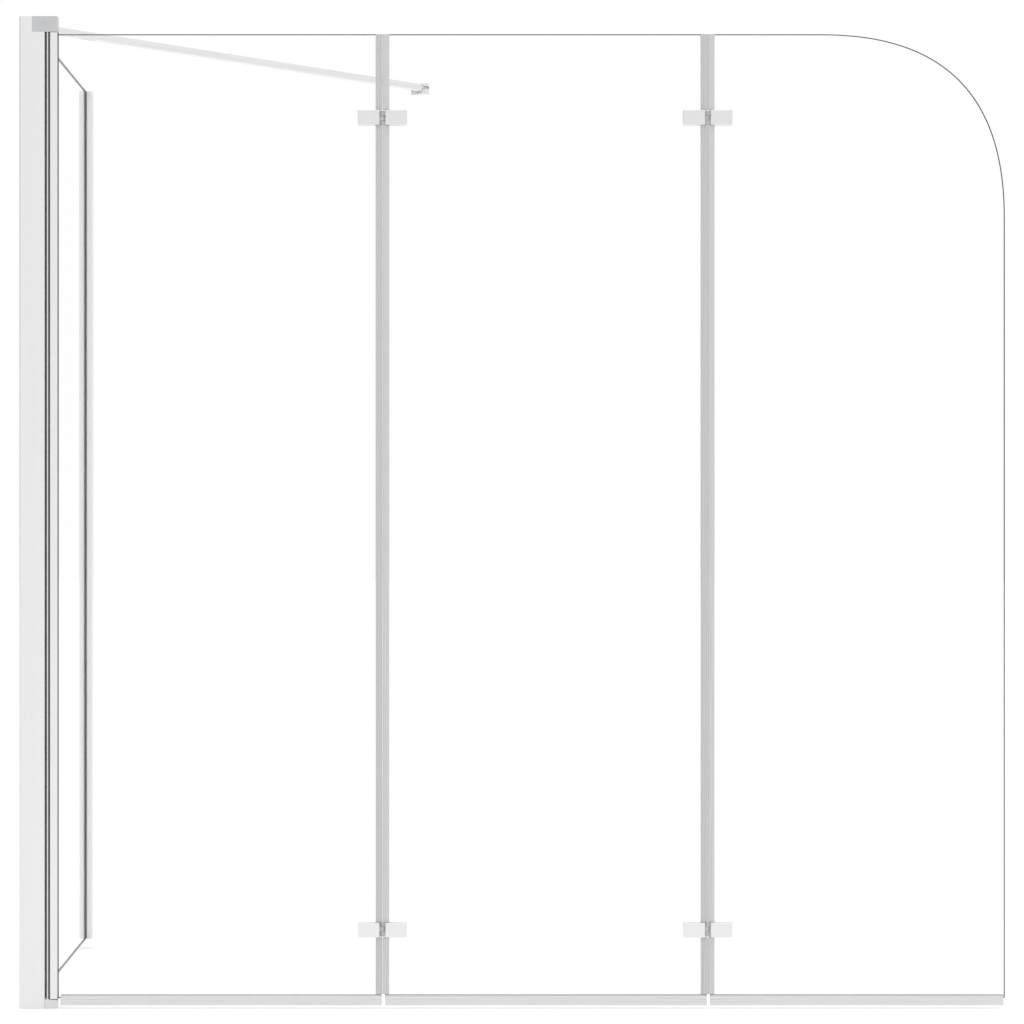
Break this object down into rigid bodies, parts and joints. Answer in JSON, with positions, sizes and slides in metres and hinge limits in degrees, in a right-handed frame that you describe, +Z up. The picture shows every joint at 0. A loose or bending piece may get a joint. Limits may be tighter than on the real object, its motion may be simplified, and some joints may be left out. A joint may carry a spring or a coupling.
{
  "type": "folding bath shower screen",
  "caption": "Folding glass screen for the open corner of a bath: fixed side pane on a wall channel, corner post with stay bar, and a row of hinged clear panes with a curved end.",
  "frame": {"origin": "foot of the wall channel's back face, on the middle plane of the side glass, where the wall is", "axes": "+X from the corner post along the row of folding panes, +Y towards the wall, +Z up; the bath's rim is 15 mm below the origin"},
  "size_m": [1.2922, 0.6975, 1.3],
  "materials": {
    "anodised_aluminium": "bright silver anodised",
    "plated_casting": "satin plated casting",
    "chromed_metal": "polished",
    "stainless_steel": "turned",
    "clear_glass": "clear toughened",
    "clear_vinyl": "translucent",
    "grey_rubber": "matt",
    "grey_nylon": "matt"
  },
  "bodies": {
    "frame": {"corner_post": "anodised_aluminium", "post_cap": "plated_casting", "foot_block": "plated_casting", "post_screws": "stainless_steel", "post_plugs": "grey_nylon", "upper_pivot_pin": "stainless_steel", "lower_pivot_pin": "stainless_steel", "thrust_washer": "grey_nylon", "post_seal": "grey_rubber", "side_glass": "clear_glass", "post_gasket": "grey_rubber", "wall_gaskets": "clear_vinyl", "wall_channel": "anodised_aluminium", "stay_bar": "anodised_aluminium", "stay_stud": "plated_casting", "stay_tongue": "plated_casting", "stay_grub": "stainless_steel"},
    "bracket": {"wall_bracket": "plated_casting", "stay_pin": "stainless_steel"},
    "first_leaf": {"pivot_profile": "anodised_aluminium", "pivot_gasket": "grey_rubber", "first_glass": "clear_glass", "first_drip_seal": "clear_vinyl", "first_upper_near_front_plate": "chromed_metal", "first_lower_near_front_plate": "chromed_metal", "first_near_back_plates": "chromed_metal", "first_near_pads": "grey_nylon", "first_near_screws": "stainless_steel", "first_near_seal": "clear_vinyl"},
    "second_leaf": {"second_glass": "clear_glass", "second_drip_seal": "clear_vinyl", "first_fold_pins": "stainless_steel", "first_upper_far_front_plate": "chromed_metal", "first_lower_far_front_plate": "chromed_metal", "first_far_back_plates": "chromed_metal", "first_far_pads": "grey_nylon", "first_far_screws": "stainless_steel", "first_far_seal": "clear_vinyl", "second_upper_near_front_plate": "chromed_metal", "second_lower_near_front_plate": "chromed_metal", "second_near_back_plates": "chromed_metal", "second_near_pads": "grey_nylon", "second_near_screws": "stainless_steel", "second_near_seal": "clear_vinyl"},
    "third_leaf": {"third_glass": "clear_glass", "third_drip_seal": "clear_vinyl", "second_fold_pins": "stainless_steel", "second_upper_far_front_plate": "chromed_metal", "second_lower_far_front_plate": "chromed_metal", "second_far_back_plates": "chromed_metal", "second_far_pads": "grey_nylon", "second_far_screws": "stainless_steel", "second_far_seal": "clear_vinyl"}
  },
  "joints": [
    {"name": "post_pivot", "type": "hinge", "parent": "frame", "child": "first_leaf", "pos_m": [0.01155, -0.6943, 0.6], "axis": [0, 0, 1], "range_deg": [-90, 0]},
    {"name": "first_fold", "type": "hinge", "parent": "first_leaf", "child": "second_leaf", "pos_m": [0.45055, -0.682, 0.6], "axis": [0, 0, 1], "range_deg": [0, 120]},
    {"name": "second_fold", "type": "hinge", "parent": "second_leaf", "child": "third_leaf", "pos_m": [0.87705, -0.682, 0.6], "axis": [0, 0, 1], "range_deg": [0, 180]},
    {"name": "bracket_swivel", "type": "hinge", "parent": "frame", "child": "bracket", "pos_m": [0.5035, -0.011, 1.2685], "axis": [0, 0, 1], "range_deg": [-35, 25]}
  ]
}
